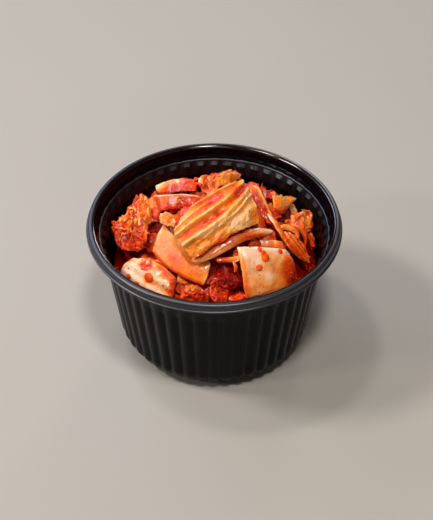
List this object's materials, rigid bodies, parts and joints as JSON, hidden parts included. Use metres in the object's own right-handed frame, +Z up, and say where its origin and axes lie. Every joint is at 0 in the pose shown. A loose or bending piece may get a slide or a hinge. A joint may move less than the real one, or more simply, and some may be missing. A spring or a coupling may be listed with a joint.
{
  "type": "bowl of kimchi",
  "caption": "Cut napa cabbage kimchi heaped in a round black fluted takeaway bowl with a rolled rim and a lid seat.",
  "frame": {"origin": "centre of the bowl's round plan, on the surface that the bowl stands on", "axes": "+Z up out of the bowl's mouth, -Y towards the side from which the bowl is served, +X to the right seen from there"},
  "size_m": [0.12, 0.12, 0.087],
  "materials": {
    "black_plastic": "moulded satin gloss",
    "cabbage_leaf": "wet, stained orange by chili sauce",
    "cabbage_stem": "wet, pale and slightly translucent",
    "chili_sauce": "wet, deep red, grainy with chili flakes"
  },
  "bodies": {
    "root": {"bowl": "black_plastic", "kimchi_heap": "chili_sauce", "pleated_leaf": "cabbage_leaf", "wedge_leaf": "cabbage_leaf", "crumpled_leaf": "cabbage_leaf", "left_leaf": "cabbage_leaf", "curled_leaf": "cabbage_leaf", "right_leaf": "cabbage_leaf", "dangling_leaf": "cabbage_leaf", "red_leaf": "cabbage_leaf", "front_leaf": "cabbage_leaf", "long_stem": "cabbage_stem", "square_stem": "cabbage_stem", "glossy_stem": "cabbage_stem", "upper_stem": "cabbage_stem", "folded_stem": "cabbage_stem", "small_stem": "cabbage_stem"}
  },
  "joints": []
}
